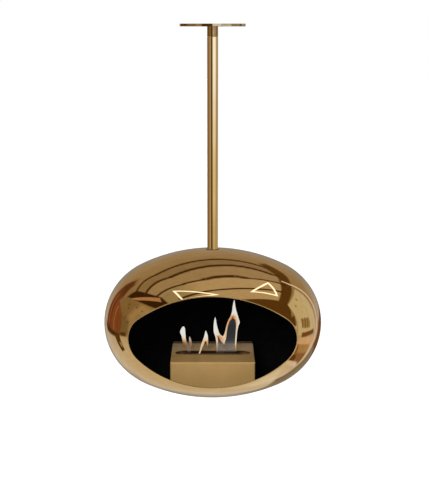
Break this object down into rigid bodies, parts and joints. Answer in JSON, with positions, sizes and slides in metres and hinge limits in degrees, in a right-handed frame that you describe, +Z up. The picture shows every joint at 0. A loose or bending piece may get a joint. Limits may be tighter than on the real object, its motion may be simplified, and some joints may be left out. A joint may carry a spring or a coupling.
{
  "type": "hanging fireplace",
  "caption": "Brass bowl with an oval mouth and a slotted liquid-fuel burner inside, hung on a pole that turns under a round ceiling plate. The burner lifts out and a damper closes its slot.",
  "frame": {"origin": "centre of the ceiling plate's top face, which lies against the ceiling", "axes": "+Z up, out of the ceiling plate's face; -Y out of the bowl's mouth; +X to the right of someone who faces the mouth"},
  "size_m": [0.71, 0.6549, 1.204],
  "materials": {
    "polished_brass": "mirror polished, warm pale gold",
    "satin_brass": "fine satin, a little darker than the polished brass",
    "shield_black": "matte heat-resistant black",
    "bush_bronze": "plain bronze, turned",
    "bearing_steel": "ground and polished",
    "fastener_steel": "zinc plated",
    "plain_steel": "plain, as machined",
    "stainless_sheet": "stainless sheet, fine grain, a little heat tint",
    "wick_ceramic": "soft white ceramic fibre",
    "flame": "a flame: glows and shows what is behind it"
  },
  "bodies": {
    "ceiling_fixing": {"ceiling_plate": "polished_brass", "pole_socket": "satin_brass", "socket_screws": "fastener_steel", "swivel_bush": "bush_bronze", "bearing_race_fixed": "bearing_steel", "bearing_balls": "bearing_steel"},
    "fireplace": {"bearing_race_turning": "bearing_steel", "spindle_nut": "fastener_steel", "lock_nut": "fastener_steel", "pole_head": "plain_steel", "pole_tube": "polished_brass", "pole_base": "plain_steel", "base_ring": "satin_brass", "bowl_shell": "polished_brass", "heat_shield": "shield_black", "crown_plate": "plain_steel", "crown_washer": "fastener_steel", "crown_nut": "fastener_steel", "fixing_bosses": "plain_steel", "fixing_brackets": "plain_steel", "bracket_bolts": "fastener_steel", "drip_tray": "stainless_sheet", "burner_housing": "satin_brass"},
    "burner": {"burner_deck": "satin_brass", "damper_rails": "stainless_sheet", "fuel_tank": "stainless_sheet", "wick_pad": "wick_ceramic", "wick_mesh": "stainless_sheet"},
    "damper": {"damper": "stainless_sheet"}
  },
  "joints": [
    {"name": "swivel", "type": "hinge", "parent": "ceiling_fixing", "child": "fireplace", "pos_m": [0, 0, -0.04], "axis": [0, 0, 1], "continuous": true},
    {"name": "burner_lift", "type": "slide", "parent": "fireplace", "child": "burner", "axis": [0, 0, 1], "range_m": [0, 0.12]},
    {"name": "damper_slide", "type": "slide", "parent": "burner", "child": "damper", "axis": [0, 1, 0], "range_m": [0, 0.053]}
  ]
}
